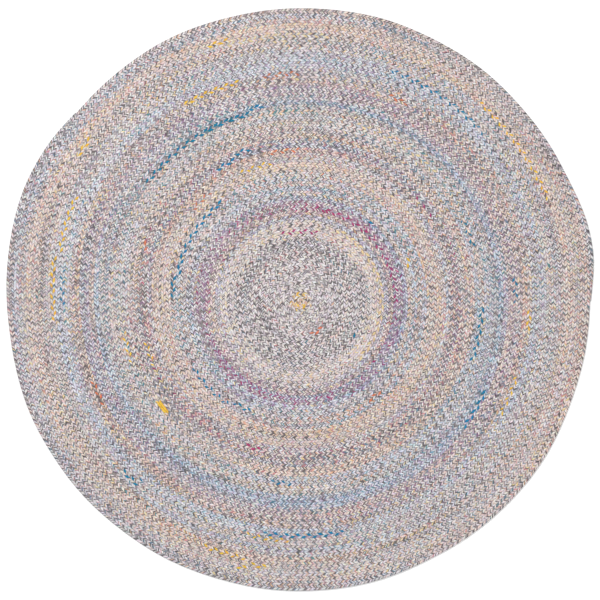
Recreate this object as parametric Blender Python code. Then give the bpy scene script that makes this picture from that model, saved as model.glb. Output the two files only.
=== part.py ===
"""Round braided rug, one sewn coil lying flat.

A flat braid is wound clockwise from the middle, each row sewn to the row inside it.
After ROWS_OF_ONE_BRAID rows a second braid is laid in beside the first, and the two run
on together to the rim, where each ends in a taper on the row below it. The rows are
raised as ribs in the top face; the under face is flat. Metres, +Z up, with the origin
under the middle of the outline's box.
"""

import math

import bpy
from mathutils import Vector
from mathutils.geometry import delaunay_2d_cdt

# Driving dimensions
ROW_PITCH = 0.015  # the width of one braid
THICKNESS = 0.010  # of the braid at its crest
GROOVE_DEPTH = 0.003  # of the valley where two rows are sewn together
RIM_HEIGHT = 0.005  # where the outermost braid is widest
RIM_UNDERCUT = 0.004  # how far the rim draws in below that, down to the floor

# The coil, in rows and in degrees clockwise from the ray where the second braid is whole
SEAM_AT = 152.0  # that ray's angle from +X, counterclockwise
ROWS_OF_ONE_BRAID = 23
ROWS_AT_SEAM = 62
JOIN_LENGTH = 36.0  # over which the second braid grows from nothing to its full width
FIRST_BRAID_END = 9.0  # the middle of each braid's last taper
SECOND_BRAID_END = 149.0
END_TAPER = 14.0

# The rim bulges just before the second braid's end, and the outer rows with it
BULGE_AT = 137.0
BULGE_HALF_WIDTH = 14.0
BULGE_RISE = 0.010
BULGE_FROM_RADIUS = 0.60

# The sewing pulls the rows a little in and out: waves round the coil, full at the rim
PULLS = (
    # waves round, rise in metres, first crest in degrees
    (1, 0.0050, 29.0),
    (2, 0.0019, 145.0),
    (3, 0.0011, 92.0),
    (7, 0.0014, 37.0),
    (9, 0.0010, 30.0),
    (17, 0.0007, 15.0),
)

# Straight steps in one turn, by the radius up to which they hold
STEPS_IN_TURN = (
    # radius in metres, steps
    (0.10, 16),
    (0.30, 24),
    (0.60, 40),
    (1.00, 60),
)
RIM_STEPS = 120
THINNEST_TAPER = 0.35  # of a row's width, where its crest and groove stop

FABRIC_COLOUR = (0.48, 0.43, 0.43, 1.0)
FABRIC_ROUGHNESS = 0.95


def clear_scene():
    for obj in list(bpy.data.objects):
        bpy.data.objects.remove(obj, do_unlink=True)


def eased(share):
    """0 to 1 with soft ends."""
    share = min(max(share, 0.0), 1.0)
    return share * share * (3 - 2 * share)


def joined(turned):
    """How much of the second braid's start is there, at degrees clockwise in one turn."""
    return eased((turned - (360 - JOIN_LENGTH)) / JOIN_LENGTH)


def left_of_end(turned, end):
    """What a braid's last taper leaves of its width."""
    return 1 - eased((turned - end) / END_TAPER + 0.5)


def point_on(rows, turned):
    """The place that is so many rows from the middle, pulled as the sewing pulls it."""
    radius = rows * ROW_PITCH
    near_rim = radius / (ROWS_AT_SEAM * ROW_PITCH)
    for waves, rise, crest in PULLS:
        radius += near_rim**2 * rise * math.cos(math.radians(waves * (turned - crest)))
    from_bulge = min(abs(turned - BULGE_AT) / BULGE_HALF_WIDTH, 1.0)
    reach = eased((rows * ROW_PITCH - BULGE_FROM_RADIUS) / (1 - BULGE_FROM_RADIUS))
    radius += BULGE_RISE * reach * math.cos(math.pi / 2 * from_bulge) ** 2
    angle = math.radians(SEAM_AT - turned)
    return Vector((radius * math.cos(angle), radius * math.sin(angle)))


def first_braid(turn, turned):
    """(inner edge, width) of the first braid, in rows, so many turns and degrees along."""
    two_by_two = max(turn - ROWS_OF_ONE_BRAID, 0)
    inner = turn + two_by_two + turned / 360
    if turn >= ROWS_OF_ONE_BRAID:
        inner += joined(turned)
    last = ROWS_AT_SEAM - 1
    width = left_of_end(turned, FIRST_BRAID_END) if turn + two_by_two == last else 1.0
    return inner, width


def second_braid(turn, turned):
    """The same of the second braid. Turn -1 holds only its start, over JOIN_LENGTH."""
    if turn < 0:
        return ROWS_OF_ONE_BRAID + turned / 360, joined(turned)
    row_at_seam = ROWS_OF_ONE_BRAID + 1 + 2 * turn
    inner = row_at_seam + turned / 360 + joined(turned)
    last = ROWS_AT_SEAM - 2
    width = left_of_end(turned, SECOND_BRAID_END) if row_at_seam == last else 1.0
    return inner, width


def rows_to_rim(turned):
    """The outline, in rows from the middle."""
    rows = ROWS_AT_SEAM + turned / 360 + joined(turned)
    rows -= 1 - left_of_end(turned, FIRST_BRAID_END)
    return rows - (1 - left_of_end(turned, SECOND_BRAID_END))


def steps_at(rows):
    for radius, steps in STEPS_IN_TURN:
        if rows * ROW_PITCH < radius:
            return steps
    return STEPS_IN_TURN[-1][1]


class Surface:
    """The points of the top face with their heights, and the edges that it has to keep."""

    def __init__(self):
        self.places = []
        self.heights = []
        self.edges = []

    def add(self, place, height):
        self.places.append(place)
        self.heights.append(height)
        return len(self.places) - 1

    def line(self, stops):
        """A crest or a groove, through (place, height) stops. A None parts it in two."""
        before = None
        for stop in stops:
            here = None if stop is None else self.add(*stop)
            if before is not None and here is not None:
                self.edges.append((before, here))
            before = here


def braid_stops(braid, first_turn, last_turn):
    """The stops of a braid's crest and of the groove inside it."""
    crest = []
    groove = []
    for turn in range(first_turn, last_turn + 1):
        steps = steps_at(braid(turn, 180.0)[0])
        for step in range(steps):
            turned = 360 * step / steps
            inner, width = braid(turn, turned)
            if width < THINNEST_TAPER:
                crest.append(None)
                groove.append(None)
                continue
            low = THICKNESS - GROOVE_DEPTH
            high = low + GROOVE_DEPTH * width
            crest.append((point_on(inner + width / 2, turned), high))
            groove.append((point_on(inner, turned), low))
    return crest, groove


def top_surface():
    """The ribbed top: (points, triangles, the rim's points in order)."""
    surface = Surface()
    turns_of_two = (ROWS_AT_SEAM - ROWS_OF_ONE_BRAID) // 2
    crest, groove = braid_stops(first_braid, 0, ROWS_OF_ONE_BRAID + turns_of_two)
    surface.line(crest)
    surface.line(groove)
    crest, groove = braid_stops(second_braid, -1, turns_of_two - 1)
    surface.line(crest)
    surface.line(groove)
    rim = []
    for step in range(RIM_STEPS):
        turned = 360 * step / RIM_STEPS
        rim.append(surface.add(point_on(rows_to_rim(turned), turned), RIM_HEIGHT))
    surface.edges += [(a, b) for a, b in zip(rim, rim[1:] + rim[:1])]
    inside_rim = 1
    places, _, faces, sources, _, _ = delaunay_2d_cdt(
        surface.places, surface.edges, [], inside_rim, 1e-6
    )
    points = []
    new_index = {}
    for index, place in enumerate(places):
        for source in sources[index]:
            new_index[source] = index
        points.append(Vector((*place, surface.heights[sources[index][0]])))
    return points, [tuple(face) for face in faces], [new_index[index] for index in rim]


def rug_mesh():
    points, faces, rim = top_surface()
    low = [min(points[index][side] for index in rim) for side in (0, 1)]
    high = [max(points[index][side] for index in rim) for side in (0, 1)]
    middle = Vector(((low[0] + high[0]) / 2, (low[1] + high[1]) / 2, 0))
    for point in points:
        point -= middle
    foot = []
    for index in rim:
        out = Vector((points[index].x, points[index].y, 0)).normalized()
        foot.append(len(points))
        points.append(points[index] - out * RIM_UNDERCUT - Vector((0, 0, RIM_HEIGHT)))
    under_middle = len(points)
    points.append(Vector((0, 0, 0)))
    # The rim's points run clockwise, seen from above
    for side in range(RIM_STEPS):
        after = (side + 1) % RIM_STEPS
        faces.append((rim[side], rim[after], foot[after], foot[side]))
        faces.append((foot[side], foot[after], under_middle))
    mesh = bpy.data.meshes.new("braided_coil")
    mesh.from_pydata([tuple(point) for point in points], [], faces)
    mesh.validate()
    mesh.shade_smooth()
    return mesh


def fabric():
    material = bpy.data.materials.new("braided_fabric")
    material.use_nodes = True
    shader = material.node_tree.nodes["Principled BSDF"]
    shader.inputs["Base Color"].default_value = FABRIC_COLOUR
    shader.inputs["Roughness"].default_value = FABRIC_ROUGHNESS
    shader.inputs["Metallic"].default_value = 0.0
    return material


def build():
    clear_scene()
    rug = bpy.data.objects.new("braided_coil", rug_mesh())
    rug.data.materials.append(fabric())
    bpy.context.scene.collection.objects.link(rug)


build()
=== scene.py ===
# %% [markdown]
# # A round braided rug
#
# The rug is two flat cloth braids, wound in a coil and sewn row to row. The packed
# solid gives its size, its thickness and its uneven rim, and it stays hidden in the
# picture. This lesson plaits the real strands along the same coil, gives each strand
# its bundle of dyed yarns, and lights the rug from above on a pale floor.

# %% The frame
import math

import bpy
import numpy as np
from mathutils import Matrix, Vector


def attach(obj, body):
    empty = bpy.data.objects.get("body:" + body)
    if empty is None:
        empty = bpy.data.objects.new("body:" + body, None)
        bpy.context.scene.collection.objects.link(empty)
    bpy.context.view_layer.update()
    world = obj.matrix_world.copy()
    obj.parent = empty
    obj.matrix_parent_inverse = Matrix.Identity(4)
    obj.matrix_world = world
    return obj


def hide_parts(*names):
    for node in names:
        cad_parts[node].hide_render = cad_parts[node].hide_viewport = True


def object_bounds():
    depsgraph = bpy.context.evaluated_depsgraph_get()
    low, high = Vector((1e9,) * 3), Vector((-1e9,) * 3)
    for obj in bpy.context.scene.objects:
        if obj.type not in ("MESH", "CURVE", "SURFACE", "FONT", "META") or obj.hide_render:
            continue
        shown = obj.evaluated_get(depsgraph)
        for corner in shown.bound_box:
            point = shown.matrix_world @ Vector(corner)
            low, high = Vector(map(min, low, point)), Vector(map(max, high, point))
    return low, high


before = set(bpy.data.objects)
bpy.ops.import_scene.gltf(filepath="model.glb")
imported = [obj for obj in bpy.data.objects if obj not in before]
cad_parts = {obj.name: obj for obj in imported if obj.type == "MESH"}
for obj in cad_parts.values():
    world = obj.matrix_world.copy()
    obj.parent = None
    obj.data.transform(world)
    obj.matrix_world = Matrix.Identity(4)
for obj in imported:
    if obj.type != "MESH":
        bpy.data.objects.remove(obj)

cad_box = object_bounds()
print("solid rug, metres:", [round(side, 4) for side in cad_box[1] - cad_box[0]])

# %% [markdown]
# ## The coil
#
# A maker winds the braid outward from the middle, clockwise seen from above. After 23
# rows a second braid is laid in beside the first and both run on to the rim, so from
# there a row is two rows further out after each turn. The coil could be drawn as a
# curve by hand, but a formula in rows and degrees says the same in a few named values,
# and they are the values that the solid was made from. Degrees are counted clockwise
# from the ray where the second braid is whole.

# %% Sizes of the coil
ROW_PITCH = 0.015  # the width of one braid
THICKNESS = cad_box[1].z
SEAM_AT = 152.0  # degrees from +X to the ray where the second braid is whole
ROWS_OF_ONE_BRAID = 23
ROWS_AT_SEAM = 62
print("from the middle to the rim, metres:", round(ROWS_AT_SEAM * ROW_PITCH, 3))

# %% Where a braid starts and ends
JOIN_LENGTH = 36.0  # degrees over which the second braid's start grows
FIRST_BRAID_END = 9.0  # the middle of each braid's last taper
SECOND_BRAID_END = 149.0
END_TAPER = 14.0  # degrees


def eased(share):
    """0 to 1 with soft ends."""
    share = np.clip(share, 0.0, 1.0)
    return share * share * (3 - 2 * share)


def joined(turned):
    """How much of the second braid's start is there, at degrees in one turn."""
    return eased((turned - (360 - JOIN_LENGTH)) / JOIN_LENGTH)


def left_of_end(turned, end):
    """What a braid's last taper leaves of its width."""
    return 1 - eased((turned - end) / END_TAPER + 0.5)


print("left of a braid in the middle of its taper:", left_of_end(FIRST_BRAID_END, FIRST_BRAID_END))

# %% Places on the coil
BULGE_AT = 137.0
BULGE_HALF_WIDTH = 14.0  # degrees
BULGE_RISE = 0.010
BULGE_FROM_RADIUS = 0.60
OUT_OF_ROUND = (
    # waves round the rug, rise at the rim in metres, first crest in degrees
    (1, 0.0050, 29.0),
    (2, 0.0019, 145.0),
    (3, 0.0011, 92.0),
    (7, 0.0014, 37.0),
    (9, 0.0010, 30.0),
    (17, 0.0007, 15.0),
)


def point_on(rows, turned):
    """Places so many rows from the middle, as two columns of metres."""
    plain = rows * ROW_PITCH
    near_rim = plain / (ROWS_AT_SEAM * ROW_PITCH)
    radius = plain.copy()
    for waves, rise, crest in OUT_OF_ROUND:
        radius += near_rim**2 * rise * np.cos(np.radians(waves * (turned - crest)))
    from_bulge = np.minimum(np.abs(turned - BULGE_AT) / BULGE_HALF_WIDTH, 1.0)
    reach = eased((plain - BULGE_FROM_RADIUS) / (1 - BULGE_FROM_RADIUS))
    radius += BULGE_RISE * reach * np.cos(np.pi / 2 * from_bulge) ** 2
    angle = np.radians(SEAM_AT - turned)
    return np.stack([radius * np.cos(angle), radius * np.sin(angle)], axis=1)


print("one row out at the seam, metres:", point_on(np.ones(1), np.zeros(1)).round(4))

# %% The rim, and the middle of the rug
RIM_STEPS = 120


def rows_to_rim(turned):
    """The outline, in rows from the middle."""
    rows = ROWS_AT_SEAM + turned / 360 + joined(turned)
    rows -= 1 - left_of_end(turned, FIRST_BRAID_END)
    return rows - (1 - left_of_end(turned, SECOND_BRAID_END))


rim_turned = np.arange(RIM_STEPS) * 360 / RIM_STEPS
rim_points = point_on(rows_to_rim(rim_turned), rim_turned)
MIDDLE = (rim_points.min(axis=0) + rim_points.max(axis=0)) / 2
print("rim, metres:", np.ptp(rim_points, axis=0).round(4))

# %% [markdown]
# ## Where each braid runs
#
# A braid is followed in degrees of travel. At each degree the coil says how many rows
# lie inside it and how wide it is: whole, or drawn in where it starts and ends. The
# first braid starts as a narrow curl at the very middle, so that no hole is left there.
# From this come a line of close points, its length, and the direction to the outside
# of the coil, which the strands swing along.

# %% How wide each braid is, and what lies inside it
START_CURL = 180.0  # degrees over which the first braid starts from the very middle
START_WIDTH = 0.4  # of a row, with which it starts


def first_braid(way):
    """(rows inside the first braid, its width in rows, degrees in this turn)."""
    turn = np.floor(way / 360)
    turned = way - 360 * turn
    two_by_two = np.maximum(turn - ROWS_OF_ONE_BRAID, 0)
    inner = turn + two_by_two + turned / 360
    inner += joined(turned) * (turn >= ROWS_OF_ONE_BRAID)
    on_rim = turn + two_by_two >= ROWS_AT_SEAM - 1
    width = np.where(on_rim, left_of_end(turned, FIRST_BRAID_END), 1.0)
    curl = START_WIDTH + (1 - START_WIDTH) * eased(1 + way / START_CURL)
    width = np.where(way < 0, curl, width)
    inner += np.where(way < 0, 1 - width, 0.0)
    return inner, width, turned


def second_braid(way):
    """The same of the second braid, whose start lies before 0 degrees."""
    turn = np.floor(way / 360)
    turned = way - 360 * turn
    inner = ROWS_OF_ONE_BRAID + 1 + 2 * turn + turned / 360 + joined(turned)
    on_rim = ROWS_OF_ONE_BRAID + 1 + 2 * turn >= ROWS_AT_SEAM - 2
    width = np.where(on_rim, left_of_end(turned, SECOND_BRAID_END), 1.0)
    at_start = way < 0
    inner = np.where(at_start, ROWS_OF_ONE_BRAID + turned / 360, inner)
    return inner, np.where(at_start, joined(turned), width), turned


for braid in (first_braid, second_braid):
    inner, width, turned = braid(np.arange(3) * 360.0)
    print(braid.__name__, "after 0, 1 and 2 turns: rows inside", inner, "widths", width)

# %% The two braids' lines
WAY_STEP = 1.0  # degrees of travel between two points of a braid's line
THINNEST = 0.12  # of the braid's width: its ends are tucked under from there


class BraidLine:
    """A braid's middle line: places, outward directions, widths and rows by length."""

    def __init__(self, name, braid, first_way, last_way):
        inner, width, turned = braid(np.arange(first_way, last_way, WAY_STEP))
        inner, width, turned = (values[width > THINNEST] for values in (inner, width, turned))
        self.name = name
        self.width = width
        self.rows = inner + width / 2
        self.turned = turned
        self.places = point_on(self.rows, turned) - MIDDLE
        steps = np.hypot(*np.diff(self.places, axis=0).T)
        self.length = np.concatenate([[0.0], np.cumsum(steps)])
        along = np.gradient(self.places, axis=0)
        outward = np.stack([-along[:, 1], along[:, 0]], axis=1)
        self.outward = outward / np.hypot(*outward.T)[:, None]
        print(f"{name}: {self.length[-1]:.1f} m long, {self.rows[-1]:.1f} rows out")

    def at(self, length, values):
        """Those values of the line at these lengths along it."""
        if values.ndim == 1:
            return np.interp(length, self.length, values)
        columns = [np.interp(length, self.length, column) for column in values.T]
        return np.stack(columns, axis=1)


turns_of_two = (ROWS_AT_SEAM - ROWS_OF_ONE_BRAID) // 2
first_end = 360.0 * (ROWS_OF_ONE_BRAID + turns_of_two) + FIRST_BRAID_END + END_TAPER
second_end = 360.0 * (turns_of_two - 1) + SECOND_BRAID_END + END_TAPER
lines = [
    BraidLine("first_braid", first_braid, -START_CURL, first_end),
    BraidLine("second_braid", second_braid, -JOIN_LENGTH, second_end),
]

# %% [markdown]
# ## Three strands to a braid
#
# In a flat plait each strand comes up through the middle, crosses to an edge on top,
# folds round that edge and goes back to the middle underneath, then does the same at
# the other edge. The three do this a third of a period apart, and seen from above they
# lie as chevrons. A relief on one skin would be lighter, but real strands give the true
# gaps, edges and under side too.
#
# A strand is a soft bundle pressed flat, so its section is a flat box whose width lies
# along the braid: it folds at the edges like a ribbon. Four corners round it and eight
# rings to each period are enough at the size it shows, and keep a strand of the longer
# braid under 200,000 triangles. The braid is laid out straight first, as lengths along
# it, out to its side and up, and then bent to the coil. Plaiting is never quite even,
# so the pace, the thickness and the line waver a little.

# %% The path of a strand's middle
STRANDS = 3
BRAID_PERIOD = 0.0346  # metres in which each strand goes to both edges and back
HALF_PATH = (
    # share of half a period, share of the way out, height, painted shade there: darkest where the
    # strand comes up through the middle, lightest on top, darker where it folds under
    (0.00, -0.17, 0.0, 0.64),
    (0.46, 0.66, 1.0, 1.08),
    (0.70, 1.00, 1.0, 0.90),
    (0.83, 0.70, -1.0, 0.76),
)


def strand_path(line, strand):
    """A strand's rings: lengths along, shares of the way out, heights and painted shade."""
    halves = int(2 * line.length[-1] / BRAID_PERIOD) + 4  # some spare, as two start early
    half = np.repeat(np.arange(halves), len(HALF_PATH))
    share, out, height, painted_shade_and_tone = np.tile(np.array(HALF_PATH).T, halves)
    along = BRAID_PERIOD * ((half + share) / 2 - strand / STRANDS)
    out = np.where(half % 2 == 0, out, -out)
    inside = (along > 0) & (along < line.length[-1])
    return along[inside], out[inside], height[inside], painted_shade_and_tone[inside]


for line in lines:
    print(line.name, "rings in a strand:", len(strand_path(line, 0)[0]))

# %% The ribbon round the path, on the straight braid
SWING = 0.0056  # how far out a strand's middle goes
LIFT = 0.0024  # how far up and down
HALF_WIDTH = 0.0058
HALF_THICKNESS = 0.0026
CORNER_SIDES = np.array([(1, -1), (1, 1), (-1, 1), (-1, -1)])  # over, forward
CORNERS = len(CORNER_SIDES)
UNEVEN = 0.08  # how much a strand's thickness changes along it
UNEVEN_EVERY = 0.035  # metres
WANDER = 0.0003  # how far the braid strays sideways
WANDER_EVERY = 0.11
STRETCH = 0.004  # how far the plaiting runs ahead or behind its even pace
STRETCH_EVERY = 0.30
PULL = 0.0015  # the same again, from one pull on the strands to the next
PULL_EVERY = 0.05


def uneven(rng, length, every):
    """A smooth random value from -1 to 1 along a length."""
    knots = rng.uniform(-1, 1, int(length[-1] / every) + 3)
    return np.interp(length / every, np.arange(len(knots)), knots)


def ribbon(line, strand, rng):
    """(lengths along, painted shade, middles, corners) of one strand's rings."""
    along, out, height, painted_shade_and_tone = strand_path(line, strand)
    shared = np.random.default_rng(len(line.name))  # alike for the strands of a braid
    stray = WANDER * uneven(shared, along, WANDER_EVERY)
    along = along + STRETCH * uneven(shared, along, STRETCH_EVERY)
    along = along + PULL * uneven(shared, along, PULL_EVERY)
    thick = 1 + UNEVEN * uneven(rng, along, UNEVEN_EVERY)
    width = line.at(along, line.width)
    drawn_in = np.sqrt(width)
    middle = np.stack([along, SWING * width * out + stray, LIFT * drawn_in * height], axis=1)
    over = np.cross(np.array([1.0, 0.0, 0.0]), np.gradient(middle, axis=0))
    over *= (HALF_THICKNESS * drawn_in * thick / np.linalg.norm(over, axis=1))[:, None]
    forward = np.zeros_like(middle)
    forward[:, 0] = HALF_WIDTH * thick
    corners = middle[:, None] + over[:, None] * CORNER_SIDES[:, :1]
    return along, painted_shade_and_tone, middle, corners + forward[:, None] * CORNER_SIDES[:, 1:]


sample = ribbon(lines[0], 0, np.random.default_rng(0))[-1]
print("a ribbon's corners, as rings, corners and numbers:", sample.shape)

# %% [markdown]
# ## From the straight braid to the coil
#
# Each corner's length along the braid picks its place on the coil's line, and its
# distance to the side is laid off along the outward direction there. The shading could
# follow the box's faces, but it would fall into hard planes and black creases, where
# soft yarn scatters light and looks evenly rounded. So the directions that the shading
# uses are given: mostly up on top and down underneath, leaning a little to the side
# that the corner is on.

# %% Bending a ribbon to the coil
SHADE_FORWARD = 0.2  # how far the shading leans along the braid, beside 1 for up
SHADE_OUT = 0.3  # and to its side


def bent(line, middle, corners):
    """The corners' places on the coil, and the directions for their shading."""
    length, side, up = corners.reshape(-1, 3).T[..., None]
    outward = line.at(length[:, 0], line.outward)
    points = np.zeros((len(length), 3))
    points[:, :2] = line.at(length[:, 0], line.places) + outward * side
    points[:, 2:] = np.clip(THICKNESS / 2 + up, 0.0, THICKNESS)
    forward = outward[:, ::-1] * np.array([1, -1])
    lean_forward = np.tile(CORNER_SIDES[:, 1:], (len(middle), 1)) * SHADE_FORWARD
    from_middle = (corners - middle[:, None]).reshape(-1, 3)[:, 1:2]
    lean_out = from_middle / HALF_THICKNESS * SHADE_OUT
    shading = np.zeros_like(points)
    shading[:, :2] = forward * lean_forward + outward * lean_out
    shading[:, 2:] = up / (THICKNESS / 2)
    return points, shading / np.linalg.norm(shading, axis=1)[:, None]


def ribbon_faces(rings):
    """The sides between rings, ring by ring, and a cap at each end."""
    first = np.arange(rings - 1)[:, None] * CORNERS
    corner = np.arange(CORNERS)[None, :]
    after = (corner + 1) % CORNERS
    sides = [first + corner, first + after, first + CORNERS + after, first + CORNERS + corner]
    caps = np.array([[3, 2, 1, 0], [0, 1, 2, 3]])
    caps[1] += (rings - 1) * CORNERS
    return np.concatenate([np.stack(sides, axis=2).reshape(-1, 4), caps])


print("two rings make a box of", len(ribbon_faces(2)), "faces")

# %% [markdown]
# ## Six yarns round a strand
#
# The finish has to know which yarn of the bundle shows at each spot. An angle round the
# strand would do for a round one, but this one is flat: three yarns lie side by side on
# each face, and the outer ones are wrapped round its narrow sides. So each face corner
# keeps its place in yarns passed round the strand and its length along the strand. The
# strand rolls a little this way and that, as it does in the hand.

# %% Places round and along a strand
YARNS_ACROSS = 3  # how many of a strand's yarns show on each of its two faces
YARNS_IN_STRAND = 2 * YARNS_ACROSS
ROUND_SIDE = 0.25  # of a yarn, which lies round the corner on the strand's narrow side
ROLL = 0.4  # yarns by which a strand rolls this way and that
SIDE_ENDS = np.array(
    [
        ROUND_SIDE,
        YARNS_ACROSS - ROUND_SIDE,
        YARNS_ACROSS + ROUND_SIDE,
        YARNS_IN_STRAND - ROUND_SIDE,
        YARNS_IN_STRAND + ROUND_SIDE,
    ]
)


def both_ends(ring_values):
    """A value of each ring, for the four face corners of each step between two rings."""
    here, after = ring_values[:-1], ring_values[1:]
    return np.stack([here, here, after, after], axis=1)[:, None, :]


def places_round(middle, strand, rolled):
    """(yarns passed round, metres along the strand, strand) of each face corner."""
    run = np.linalg.norm(np.diff(middle, axis=0), axis=1)
    run = np.concatenate([[0.0], np.cumsum(run)])
    left, right = SIDE_ENDS[:-1], SIDE_ENDS[1:]
    sides = np.zeros((len(run) - 1, CORNERS, 4, 3))
    sides[..., 0] = np.stack([left, right, right, left], axis=1) + both_ends(rolled)
    sides[..., 1] = both_ends(run)
    sides[..., 2] = strand
    caps = np.zeros((2 * CORNERS, 3))
    caps[CORNERS:, 1] = run[-1]
    return np.concatenate([sides.reshape(-1, 3), caps])


print("yarns on each side of a strand:", np.diff(SIDE_ENDS))

# %% [markdown]
# ## A flat sheet for each strand
#
# Where the rug goes on to another program its colours are painted on pictures, and a
# strand a hundred metres long fits no picture as it is. So it is cut open along one
# corner and laid in lines under one another on a square sheet, like a text, with a gap
# between the lines. An automatic unwrap would do it too, but slowly and with waste.

# %% Cutting a strand open
SHEET_EDGES = (0.0, 1.5, 2.0, 3.5, 4.0, 4.25)  # of the four sides, then the gap's end


def strand_sheet(steps):
    """Where the sides of each step and the two caps lie on the sheet."""
    in_line = math.ceil(math.sqrt(steps * SHEET_EDGES[-1]))
    lines_down = math.ceil(steps / in_line)
    step = np.arange(steps)
    left = step % in_line / in_line
    right = left + 1 / in_line
    low, high = np.array(SHEET_EDGES[:4]), np.array(SHEET_EDGES[1:5])
    up = np.stack([low, high, high, low], axis=1)[None, :, :] / SHEET_EDGES[-1]
    sheet = np.zeros((steps, CORNERS, 4, 2))
    sheet[..., 0] = np.stack([left, left, right, right], axis=1)[:, None, :]
    sheet[..., 1] = ((step // in_line)[:, None, None] + up) / lines_down
    gap_low = SHEET_EDGES[4] / SHEET_EDGES[-1] / lines_down
    gap_middle = (gap_low + 1 / lines_down) / 2
    cap_right = 1 / in_line
    cap = [[0, gap_low], [cap_right, gap_low], [cap_right, gap_middle], [0, gap_middle]]
    return np.concatenate([sheet.reshape(-1, 2), cap, cap])


print("a strand of one step has", len(strand_sheet(1)), "face corners on its sheet")

# %% [markdown]
# ## One strand as a mesh
#
# The points, faces, shading, places and sheet now come together in one closed mesh. It
# could be grown ring by ring with modelling operators, but a strand has some twenty
# thousand rings, and whole arrays are handed over in a moment.

# %% Making a strand's mesh
def strand_mesh(line, strand, seed):
    """(mesh, lengths along the braid and painted shade of its rings) for one strand of a braid."""
    rng = np.random.default_rng(seed)
    along, painted_shade_and_tone, middle, corners = ribbon(line, strand, rng)
    points, shading = bent(line, middle, corners)
    mesh = bpy.data.meshes.new(f"{line.name}_strand_{strand + 1}")
    mesh.from_pydata(points.tolist(), [], ribbon_faces(len(along)).tolist())
    mesh.shade_smooth()
    mesh.normals_split_custom_set_from_vertices(shading.tolist())
    rolled = YARNS_IN_STRAND + ROLL * uneven(rng, along, UNEVEN_EVERY)
    around = places_round(middle, strand, rolled)
    kept = mesh.attributes.new("around", "FLOAT_VECTOR", "CORNER")
    kept.data.foreach_set("vector", around.astype(np.float32).ravel())
    sheet = mesh.uv_layers.new(name="OFBake")
    sheet.uv.foreach_set("vector", strand_sheet(len(along) - 1).astype(np.float32).ravel())
    return mesh, along, painted_shade_and_tone


# %% [markdown]
# ## Yarns and their colours
#
# Each strand is a bundle of six yarns in muted odds and ends: whites and greys, with
# pinks, blues, mauves and creams worked in by bands, and here and there a few hands'
# lengths of one strong colour. The colours could all be drawn in the shader, but which
# yarn lies where is a plan along the braid, so it is worked out here, yarn by yarn, and
# kept on the strands' points. The shader then draws the yarns themselves.

# %% The yarn basket, from light to dark
YARNS = {
    "white": (223, 217, 218),
    "cream": (222, 208, 194),
    "silver": (209, 200, 203),
    "blush": (216, 195, 190),
    "straw": (222, 199, 154),
    "sky": (192, 201, 211),
    "peach": (212, 171, 146),
    "lilac": (172, 154, 174),
    "dove": (149, 141, 145),
    "rose": (188, 135, 139),
    "coral": (206, 122, 92),
    "gold": (234, 184, 66),
    "steel": (112, 134, 150),
    "teal": (92, 138, 149),
    "mauve": (138, 102, 134),
    "magenta": (168, 60, 114),
    "azure": (16, 122, 162),
    "coal": (110, 104, 107),
}
yarn_names = list(YARNS)
yarn_colours = np.array([YARNS[name] for name in yarn_names]) / 255
print(len(yarn_names), "yarn colours")

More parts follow.
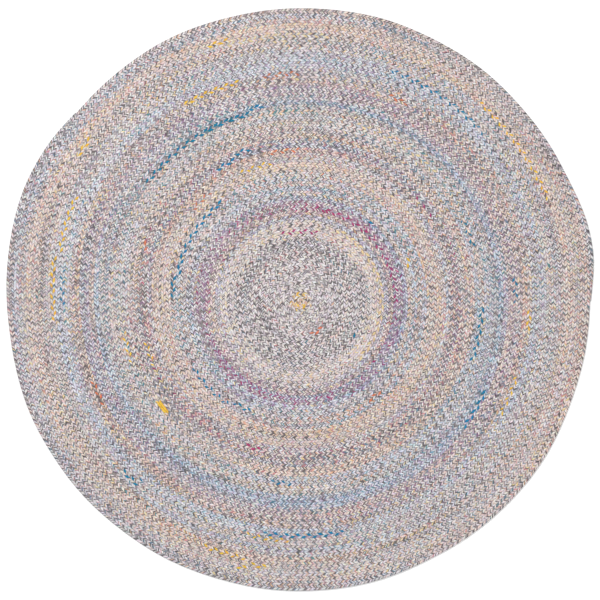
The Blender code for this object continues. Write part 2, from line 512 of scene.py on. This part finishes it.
# %% Bands of rows
# Parts of each yarn in the bundle, from the row where the band begins. "Apart" is how
# unlike the three strands are, from light to dark.
BANDS = (
    # row, apart, parts of yarn
    (0.0, 0.0, dict(cream=3, gold=1.5, straw=2.6, peach=3, white=3, dove=1, coal=0.3)),
    (2.0, 0.1, dict(white=5, silver=4, dove=4, cream=1, coal=1.6)),
    (6.0, 0.3, dict(white=5, silver=3, dove=4, blush=1, peach=0.15, rose=0.5, coal=2.4)),
    (8.0, 0.6, dict(white=7, silver=2, dove=3.4, blush=1, rose=0.15, mauve=0.1, teal=0.1,
                    steel=0.4, coal=4)),
    (14.0, 0.1, dict(white=4, cream=4, blush=4, silver=3, straw=1, peach=0.5, rose=0.2, dove=3,
                     coal=1)),
    (17.0, 0.1, dict(white=4, silver=3, blush=2, lilac=1.6, straw=0.4, peach=0.5, rose=0.1,
                     dove=3, coal=2.2)),
    (19.0, 0.1, dict(white=4, lilac=4, mauve=2, magenta=0.9, sky=1, dove=3, steel=0.8,
                     coal=1.1)),
    (22.0, 0.1, dict(white=4, silver=3, sky=2, lilac=1, dove=3.2, straw=0.3, peach=0.15,
                     rose=0.1, mauve=0.1, teal=0.5, coal=2.3)),
    (24.0, 0.1, dict(white=4, blush=2, silver=2, dove=3, sky=1, straw=0.2, peach=0.6, rose=0.5,
                     coral=0.15, teal=0.9, coal=2)),
    (27.0, 0.1, dict(white=4, cream=3, blush=4, silver=2, straw=0.8, peach=0.8, rose=0.5,
                     mauve=0.1, dove=4.1, coal=1.5)),
    (31.0, 0.1, dict(white=4, blush=3, straw=0.2, rose=0.8, peach=0.3, mauve=0.4, dove=3.4,
                     lilac=1, steel=0.8, coal=2)),
    (32.0, 0.1, dict(white=4, blush=2, straw=0.2, rose=1, mauve=1, magenta=0.1, peach=0.3,
                     dove=3.4, steel=1, coal=2.3)),
    (34.0, 0.1, dict(white=4, cream=1.5, blush=3, straw=0.4, peach=0.3, dove=3.7, rose=0.6,
                     steel=0.5, coal=2)),
    (37.0, 0.1, dict(white=4, silver=3, sky=2, dove=3, blush=1, straw=0.5, peach=0.3, teal=0.8,
                     coal=1.6)),
    (40.0, 0.1, dict(white=3.4, sky=3, silver=2, steel=2, dove=3, lilac=1.5, mauve=0.1,
                     teal=0.7, coal=1.8)),
    (43.0, 0.1, dict(white=4.6, lilac=2.4, blush=2, rose=0.3, mauve=0.5, dove=2.5, steel=0.9,
                     coal=1.6)),
    (46.0, 0.1, dict(white=4, blush=4, rose=0.5, mauve=0.2, peach=0.7, straw=0.8, dove=3.8,
                     steel=0.8, coal=2.4)),
    (48.0, 0.1, dict(white=5, silver=3, sky=2.4, straw=0.4, peach=0.3, rose=0.1, lilac=1,
                     dove=3, teal=0.5, coal=1.9)),
    (53.0, 0.1, dict(white=4, blush=3, silver=2, straw=0.6, peach=0.5, rose=0.3, dove=3.6,
                     teal=0.4, coal=2.4)),
    (55.5, 0.1, dict(white=4, blush=5, cream=3, straw=0.6, peach=0.7, rose=0.6, dove=3,
                     steel=0.5, coal=1.4)),
    (58.5, 0.3, dict(white=4.4, blush=3, silver=2, straw=0.2, peach=0.3, dove=3, rose=0.6,
                     steel=1, coal=2.4)),
    (60.3, 0.5, dict(white=5, silver=3, dove=4, blush=1, peach=0.2, rose=0.2, steel=1, coal=4)),
)
band_rows = np.array([band[0] for band in BANDS])
band_apart = np.array([band[1] for band in BANDS])
band_parts = np.array([[band[2].get(name, 0) for name in yarn_names] for band in BANDS])
band_shares = np.cumsum(band_parts / band_parts.sum(axis=1)[:, None], axis=1)
print(len(BANDS), "bands of rows")

# %% Strong runs
# A few yarns of one strong colour that show for a stretch of one row.
RUNS = (
    # yarn, row, from and to in degrees from +X, yarns on a face of the middle strand and,
    # from the fourth on, of the other two
    ("gold", 1.0, 200, 330, 2),
    ("gold", 1.5, 60, 130, 2),
    ("coral", 7.0, 288, 313, 3),
    ("azure", 13.0, 324, 331, 3),
    ("magenta", 14.2, 75, 105, 2),
    ("straw", 16.8, 313, 423, 3),
    ("magenta", 19.2, 62, 122, 1),
    ("magenta", 20.0, 0, 80, 2),
    ("magenta", 20.5, 200, 260, 1),
    ("azure", 22.1, 46, 50, 3),
    ("gold", 24.2, 18, 22, 3),
    ("azure", 25.8, 212, 247, 2),
    ("azure", 26.6, 128, 178, 3),
    ("coral", 25.2, 304, 311, 3),
    ("gold", 29.2, 102, 116, 2),
    ("coral", 30.0, 130, 140, 2),
    ("coral", 31.4, 90, 102, 2),
    ("magenta", 32.7, 248, 256, 3),
    ("azure", 33.1, 108, 122, 3),
    ("coral", 34.8, 158, 162, 3),
    ("gold", 33.4, 194, 204, 2),
    ("gold", 36.6, 215, 220, 6),
    ("gold", 37.4, 190, 200, 2),
    ("straw", 38.7, 43, 72, 2),
    ("azure", 38.0, 340, 358, 3),
    ("azure", 37.9, 261, 268, 2),
    ("azure", 38.3, 17, 27, 2),
    ("azure", 40.9, 120, 142, 3),
    ("azure", 41.1, 101, 120, 4),
    ("azure", 42.7, 322, 335, 3),
    ("azure", 45.2, 0, 7, 2),
    ("gold", 47.3, 105, 120, 3),
    ("coral", 46.8, 200, 208, 2),
    ("coral", 47.0, 62, 67, 3),
    ("coral", 47.6, 90, 100, 2),
    ("gold", 47.8, 330, 342, 2),
    ("gold", 48.1, 353, 358, 3),
    ("azure", 49.4, 261, 281, 3),
    ("azure", 50.0, 172, 181, 2),
    ("gold", 50.4, 257, 268, 2),
    ("azure", 50.8, 223, 229, 3),
    ("azure", 51.5, 42, 69, 2),
    ("gold", 51.5, 154, 185, 3),
    ("gold", 54.9, 248, 258, 2),
    ("gold", 55.2, 142, 147, 3),
    ("straw", 55.4, 84, 106, 2),
    ("gold", 55.6, 22, 48, 2),
    ("gold", 56.7, 256, 263, 3),
    ("gold", 57.0, 105, 110, 3),
)


def in_run(rows, angle, row, start, end):
    """Where a braid is on that row, which it leaves slowly as the coil opens."""
    past_start = (angle - start) % 360
    rows_a_turn = 1 if row < ROWS_OF_ONE_BRAID else 2
    drift = rows_a_turn * ((end - start) / 2 - past_start) / 360
    return (np.abs(rows - row - drift) < 0.5) & (past_start < end - start)


print(len(RUNS), "strong runs")

# %% [markdown]
# ## Which yarn lies where
#
# The yarns beside one another in a strand are one light, one middling and one dark, so
# the plait reads crisply, and they change places every few strides of it. Left to pure
# chance they would clump into blots, and in a fixed order they would make a zigzag. The
# dyes themselves are uneven: short flecks differ in tone and tint, neighbouring bands
# mingle over a row or so, and for a metre or so a whole braid leans to warm or to cool,
# which draws fine streaks along the rows. In the plain middle it hardly does.

# %% Neighbouring yarns
DYE_STEP = 0.020  # metres, after each of which the yarns of a face may change
DYE_CHANGES = 0.32  # how often they do
TWIN_YARNS = 0.12  # how often two neighbours in a strand are of one dye


def side_by_side(rng, along):
    """A face's yarns' places from light, 0, to dark, 1, at each ring."""
    count = int(along[-1] / DYE_STEP) + 2
    cell = np.cumsum(rng.random(count) < DYE_CHANGES)[(along / DYE_STEP).astype(int)]
    order = rng.permuted(np.tile(np.arange(YARNS_ACROSS), (count, 1)), axis=1)
    places = (order + rng.random((count, YARNS_ACROSS))) / YARNS_ACROSS
    twin = rng.random(count) < TWIN_YARNS
    places[twin, 1] = places[twin, 0]
    return places[cell].T


sample = side_by_side(np.random.default_rng(0), np.array([0.0]))
print("one face's yarns, from light to dark:", sample.round(2).ravel())

# %% Dyeing a strand, with painted shade by ring
FLECK = (0.004, 0.014)  # metres, from the shortest fleck to the longest
TONE_JITTER = 0.08  # of the flecks
TINT_JITTER = 0.035
BAND_BLUR = 0.7  # rows over which two bands mingle
LEAN = 0.044  # how far a braid leans to warm or to cool
LEAN_TONE = 0.02  # and to light or dark
LEAN_EVERY = 0.8  # metres
PLAIN_ROWS = (15.0, 19.0)  # inside the first the rows hardly lean, outside the second fully
PLAIN_LEAN = 0.25
LEAN_SEED = 50


def leaning(line, along, rows):
    """What the braid's lean does to red, green and blue at each ring."""
    rng = np.random.default_rng(len(line.name) + LEAN_SEED)
    freely = np.interp(rows, PLAIN_ROWS, (PLAIN_LEAN, 1.0))
    warm = 1 + LEAN * freely * uneven(rng, along, LEAN_EVERY)
    lean = np.stack([warm, np.ones_like(warm), 2 - warm], axis=1)
    return lean * (1 + LEAN_TONE * uneven(rng, along, LEAN_EVERY)[:, None])


def dye_and_shade_strand(mesh, line, strand, along, painted_shade_by_ring, seed):
    """Keeps the colour of each of a strand's yarns on the strand's points, with the rings' painted
    shade in it.
    """
    rng = np.random.default_rng(seed)
    rows = line.at(along, line.rows)
    angle = (SEAM_AT - line.at(along, np.unwrap(line.turned, period=360))) % 360
    lean = leaning(line, along, rows)
    from_middle_strand = strand - STRANDS // 2
    draws = np.concatenate([side_by_side(rng, along), side_by_side(rng, along)])
    for yarn, draw in enumerate(draws):
        count = int(along[-1] / FLECK[0]) + 2
        cell = np.searchsorted(np.cumsum(rng.uniform(*FLECK, count)), along)
        blur = BAND_BLUR * rng.uniform(-1, 1, count)[cell]
        band = np.clip(np.searchsorted(band_rows, rows + blur, side="right") - 1, 0, None)
        draw = draw ** (2.0 ** (from_middle_strand * band_apart[band]))
        chosen = (draw[:, None] > band_shares[band]).sum(axis=1)
        chosen = np.minimum(chosen, len(yarn_names) - 1)
        # 0 to 2 on a face of the middle strand, 3 to 5 on one of the other two
        rank = yarn % YARNS_ACROSS + YARNS_ACROSS * abs(from_middle_strand)
        for name, row, start, end, yarns in RUNS:
            if rank < yarns:
                here = in_run(rows, angle, row, start, end)
                chosen = np.where(here, yarn_names.index(name), chosen)
        # the rings' painted shade, times each fleck's own random tone
        painted_shade_and_tone = painted_shade_by_ring * (1 + TONE_JITTER * rng.uniform(-1, 1, count)[cell])
        tint = 1 + TINT_JITTER * rng.uniform(-1, 1, (count, 3))[cell]
        dye_and_painted_shade = yarn_colours[chosen] * tint * lean * painted_shade_and_tone[:, None]
        colours = np.ones((len(along), CORNERS, 4))
        colours[:, :, :3] = np.clip(dye_and_painted_shade, 0, 1)[:, None, :]
        kept = mesh.color_attributes.new(f"yarn_{yarn + 1}", "BYTE_COLOR", "POINT")
        kept.data.foreach_set("color_srgb", colours.astype(np.float32).ravel())


# %% [markdown]
# ## Sums in a shader
#
# A finish is a graph of nodes. Written as Python sums it reads like the arithmetic that
# it is: one small class holds a socket, and its operators add the Math nodes.

# %% Shader helpers
class Value:
    """One socket of a finish. Sums on it add Math nodes to the finish."""

    def __init__(self, finish, socket):
        self.finish = finish
        self.socket = socket

    def math(self, operation, *others):
        return self.finish.math(operation, self, *others)

    def __add__(self, other):
        return self.math("ADD", other)

    def __radd__(self, other):
        return self.finish.math("ADD", other, self)

    def __sub__(self, other):
        return self.math("SUBTRACT", other)

    def __rsub__(self, other):
        return self.finish.math("SUBTRACT", other, self)

    def __mul__(self, other):
        return self.math("MULTIPLY", other)

    def __rmul__(self, other):
        return self.finish.math("MULTIPLY", other, self)

    def __truediv__(self, other):
        return self.math("DIVIDE", other)

    def __rtruediv__(self, other):
        return self.finish.math("DIVIDE", other, self)

    def __gt__(self, other):
        return self.math("GREATER_THAN", other)

    def fraction(self):
        return self.math("FRACT")


class Finish:
    """A material under construction."""

    def __init__(self, name):
        self.material = bpy.data.materials.new(name)
        self.material.use_nodes = True
        self.tree = self.material.node_tree
        self.shader = self.tree.nodes["Principled BSDF"]

    def put(self, socket, value):
        """Links a Value to a socket, or sets the socket to a number or colour."""
        if isinstance(value, Value):
            self.tree.links.new(value.socket, socket)
        else:
            socket.default_value = value

    def node(self, kind, settings=None, inputs=None, output=0):
        """A node of that kind: settings first, then its sockets' values or links."""
        made = self.tree.nodes.new(kind)
        for name, value in (settings or {}).items():
            setattr(made, name, value)
        for name, value in (inputs or {}).items():
            self.put(made.inputs[name], value)
        return Value(self, made.outputs[output])

    def math(self, operation, *inputs):
        """A sum of numbers."""
        return self.node("ShaderNodeMath", {"operation": operation}, dict(enumerate(inputs)))

    def kept(self, name, output="Color"):
        """What the points or face corners keep under that name."""
        return self.node("ShaderNodeAttribute", {"attribute_name": name}, output=output)

    def parts(self, vector):
        """The three numbers of a vector."""
        first = self.node("ShaderNodeSeparateXYZ", {}, {"Vector": vector})
        return [Value(self, socket) for socket in first.socket.node.outputs]

    def blend(self, share, first, second, way="MIX"):
        """Two colours mixed, by the sockets that the Mix node keeps for colours."""
        settings = {"data_type": "RGBA", "blend_type": way}
        return self.node("ShaderNodeMix", settings, {0: share, 6: first, 7: second}, output=2)

    def noise(self, vector, scale, detail):
        """Soft spots between 0 and 1."""
        inputs = {"Vector": vector, "Scale": scale, "Detail": detail}
        return self.node("ShaderNodeTexNoise", {"noise_dimensions": "3D"}, inputs)

    def feed(self, **sockets):
        """Values or links for the shader, with _ for a space in a socket's name."""
        for name, value in sockets.items():
            self.put(self.shader.inputs[name.replace("_", " ")], value)


# %% [markdown]
# ## The yarn finish
#
# On the real strand soft-spun cotton yarns lie side by side, each with its own fine
# twist, a mottled dye and a little fuzz. The finish paints shade where two yarns meet,
# where a strand goes under another and in deep fuzz, and paints light and shade along
# the twist and light on raised fuzz. Real geometry for each yarn would take ten times
# the triangles. The face corners know their places round and along the strand, so no
# picture and no unwrapping is needed: the whole number of yarns passed says which yarn
# shows, and what is left over says how far across it a spot is.

# %% Yarn finish
PAINTED_YARN_EDGE_SHADE = 0.25  # how much painted shade darkens a yarn where it meets the next
PAINTED_STRAND_EDGE_SHADE = 0.4  # and painted shade on a strand where it goes under another
EDGE_CLOSENESS = 3.0  # how closely that painted shade keeps to the edge
PLY_PITCH = 0.0035  # metres between the turns of a yarn's own twist
# painted light and shade along each turn of a yarn's twist
PLY_SHADE = 0.05
HEATHER = 0.0028  # metres of the light and dark in a yarn
HEATHER_DETAIL = 1.0
HEATHER_DEPTH = 0.8
YARNS_APART = 5  # noise cells between two yarns, so that they differ
PAINTED_DEEP_FUZZ_SHADE = 0.722  # how much of a dye is left where the fuzz lies deepest: all colours darkened, with painted shade in deep fuzz
FUZZ_SHADE = 0.22  # the painted light that raised fuzz adds to that
FUZZ_SCALE = 900.0
FUZZ_DETAIL = 2.0
PLY_RELIEF = 0.25
FUZZ_RELIEF = 0.3
ROUNDNESS = 2.5  # of a whole strand's relief, beside one yarn's
RELIEF_HEIGHT = 0.0006  # metres
RELIEF_STRENGTH = 0.6
YARN_ROUGHNESS = 0.92


def yarn_finish():
    finish = Finish("yarn_bundle")
    turn, along, strand = finish.parts(finish.kept("around", output="Vector"))
    place = turn.math("MODULO", YARNS_IN_STRAND)
    within = place.fraction()
    colour = finish.kept("yarn_1")
    for yarn in range(1, YARNS_IN_STRAND):
        colour = finish.blend(place > yarn, colour, finish.kept(f"yarn_{yarn + 1}"))
    from_middle = (within - 0.5).math("ABSOLUTE") * 2
    across = (place / YARNS_ACROSS).fraction() * 2 - 1
    ply = ((along / PLY_PITCH + within) * (2 * math.pi)).math("SINE")
    spot = finish.node("ShaderNodeTexCoord", output="Object")
    fuzz = finish.noise(spot, FUZZ_SCALE, FUZZ_DETAIL)
    own = {"X": along / HEATHER, "Y": place.math("FLOOR") * YARNS_APART, "Z": strand * YARNS_APART}
    heather = finish.noise(finish.node("ShaderNodeCombineXYZ", {}, own), 1.0, HEATHER_DETAIL)
    # painted shade where yarns meet and where a strand goes under another, then the heather's own
    # light and dark, then painted light and shade along the twist and the fuzz
    shade = 1 - from_middle.math("POWER", EDGE_CLOSENESS) * PAINTED_YARN_EDGE_SHADE
    shade = shade * (1 - (across * across).math("POWER", EDGE_CLOSENESS) * PAINTED_STRAND_EDGE_SHADE)
    shade = shade * (1 + (heather - 0.5) * HEATHER_DEPTH)
    shade = (shade + ply * PLY_SHADE) * (PAINTED_DEEP_FUZZ_SHADE + fuzz * FUZZ_SHADE)
    relief = ply * PLY_RELIEF + fuzz * FUZZ_RELIEF - from_middle * from_middle
    relief = relief - across * across * ROUNDNESS
    bump = finish.node(
        "ShaderNodeBump",
        {},
        {"Strength": RELIEF_STRENGTH, "Distance": RELIEF_HEIGHT, "Height": relief},
    )
    finish.feed(
        Base_Color=finish.blend(1.0, colour, shade, "MULTIPLY"),
        Normal=bump,
        Roughness=YARN_ROUGHNESS,
    )
    return finish.material


yarn_bundle = yarn_finish()
print("yarn finish:", len(yarn_bundle.node_tree.nodes), "nodes")

# %% [markdown]
# ## Plaiting the rug
#
# Each strand of each braid is a piece of its own, since a maker plaits three strands
# and never one cloth. One long mesh would look the same, but would be too heavy for one
# piece. They all lie still with the rug and take the solid's place in the picture.

# %% Plaiting the rug
SEEDS_A_BRAID = 100
DYE_SEEDS_FROM = 10

triangles = 0
for number, line in enumerate(lines):
    for strand in range(STRANDS):
        seed = SEEDS_A_BRAID * number + strand
        mesh, along, painted_shade_and_tone = strand_mesh(line, strand, seed)
        dye_and_shade_strand(mesh, line, strand, along, painted_shade_and_tone, seed + DYE_SEEDS_FROM)
        mesh.materials.append(yarn_bundle)
        piece = bpy.data.objects.new(mesh.name, mesh)
        bpy.context.scene.collection.objects.link(piece)
        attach(piece, "root")
        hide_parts("braided_coil")
        triangles += 2 * len(mesh.polygons)
        print(mesh.name, 2 * len(mesh.polygons), "triangles")
print("rug:", triangles, "triangles")

# %% [markdown]
# ## Floor and light
#
# The rug lies on a pale floor. A large soft light from the upper left and a fainter one
# from across it leave almost no shadow beside the rug and show the plaiting gently. A
# bare sky alone would look flat, and a small lamp would put hard shadows between rows.

# %% Floor
FLOOR_SIDE = 14.0
FLOOR_COLOUR = (0.93, 0.93, 0.93, 1)
FLOOR_ROUGHNESS = 0.8

bpy.ops.mesh.primitive_plane_add(size=FLOOR_SIDE, location=(0, 0, 0))
floor = bpy.context.object
floor.name = "pale_floor"
floor_finish = Finish("pale_floor")
floor_finish.feed(Base_Color=FLOOR_COLOUR, Roughness=FLOOR_ROUGHNESS)
floor.data.materials.append(floor_finish.material)
print("floor, metres:", FLOOR_SIDE)

# %% Lights
SKY_STRENGTH = 0.55


def soft_light(name, place, size, power):
    """A round lamp that looks at the middle of the rug."""
    lamp = bpy.data.lights.new(name, "AREA")
    lamp.shape = "DISK"
    lamp.size = size
    lamp.energy = power
    light = bpy.data.objects.new(name, lamp)
    light.location = place
    light.rotation_euler = (-Vector(place)).to_track_quat("-Z", "Y").to_euler()
    bpy.context.scene.collection.objects.link(light)
    print(name, "light, watts:", power)


soft_light("key", place=(-1.6, 1.9, 4.6), size=2.0, power=190.0)
soft_light("fill", place=(2.6, -2.0, 4.2), size=3.0, power=90.0)
world = bpy.data.worlds.new("studio")
world.use_nodes = True
sky = world.node_tree.nodes["Background"]
sky.inputs["Color"].default_value = (1, 1, 1, 1)
sky.inputs["Strength"].default_value = SKY_STRENGTH
bpy.context.scene.world = world
bpy.context.scene.view_settings.view_transform = "Standard"

# %% [markdown]
# ## Camera
#
# The photograph looks straight down. Its camera could be guessed from the rug's outline,
# but the rug is flat, so any height gives the same picture as long as the lens makes a
# pixel as many metres as it is on the photograph.

# %% Camera
PHOTO_SIDE = 600.0  # pixels
METRES_A_PIXEL = 0.003137
PHOTO_MIDDLE = (300.0, 299.5)  # of the rug, in the photograph's pixels
CAMERA_HEIGHT = 7.0
SENSOR_WIDTH = 36.0
FARTHEST_SEEN = 50.0

camera_data = bpy.data.cameras.new("camera")
camera_data.sensor_width = SENSOR_WIDTH
camera_data.lens = SENSOR_WIDTH * CAMERA_HEIGHT / (PHOTO_SIDE * METRES_A_PIXEL)
camera_data.clip_end = FARTHEST_SEEN
camera = bpy.data.objects.new("camera", camera_data)
camera.location = (
    (PHOTO_SIDE / 2 - PHOTO_MIDDLE[0]) * METRES_A_PIXEL,
    (PHOTO_MIDDLE[1] - PHOTO_SIDE / 2) * METRES_A_PIXEL,
    CAMERA_HEIGHT,
)
bpy.context.scene.collection.objects.link(camera)
bpy.context.scene.camera = camera
print("lens, millimetres:", round(camera_data.lens, 1))
